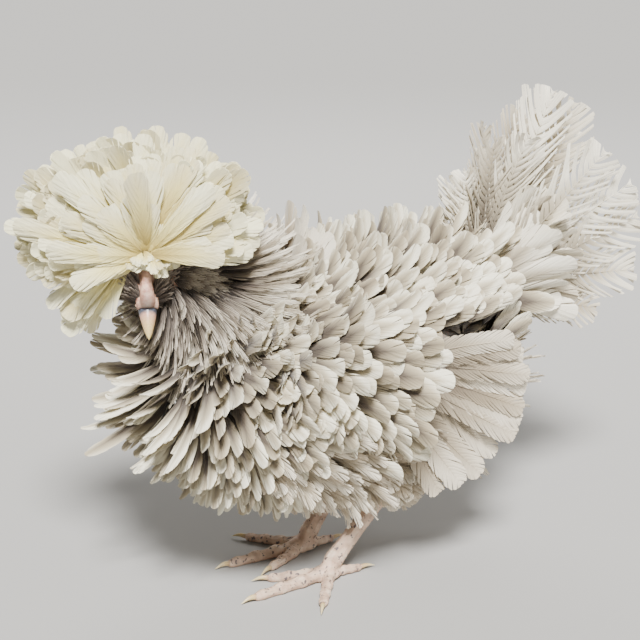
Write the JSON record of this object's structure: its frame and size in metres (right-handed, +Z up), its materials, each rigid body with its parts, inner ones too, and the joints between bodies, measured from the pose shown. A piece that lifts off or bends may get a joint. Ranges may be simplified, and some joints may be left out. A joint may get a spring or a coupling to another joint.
{
  "type": "frizzle chicken",
  "caption": "Standing crested frizzle hen: domed head crest, curled coat, folded wings, upright fanned tail, scaled feet.",
  "frame": {"origin": "middle of the bounding box at floor level, under the bird", "axes": "+Z up, -X the way the bird faces, -Y its left side"},
  "size_m": [0.4338, 0.2136, 0.2973],
  "materials": {
    "feathers": "dry curled feathers, pale silver cream with grey-brown bases",
    "skin": "bare pinkish skin of the face",
    "horn": "satin yellowish horn of beak and claws",
    "scales": "pale pinkish scaled skin with small dark marks",
    "eye": "wet dark eye"
  },
  "bodies": {
    "root": {"torso": "feathers", "neck": "feathers", "crest": "feathers", "tail": "feathers", "wing_left": "feathers", "wing_right": "feathers", "thigh_left": "feathers", "thigh_right": "feathers", "head": "skin", "beak_upper": "horn", "beak_lower": "horn", "eye_left": "eye", "eye_right": "eye", "foot_left": "scales", "foot_right": "scales", "claw_left_inner": "horn", "claw_left_middle": "horn", "claw_left_outer": "horn", "claw_left_hind": "horn", "claw_right_inner": "horn", "claw_right_middle": "horn", "claw_right_outer": "horn", "claw_right_hind": "horn"}
  },
  "joints": []
}
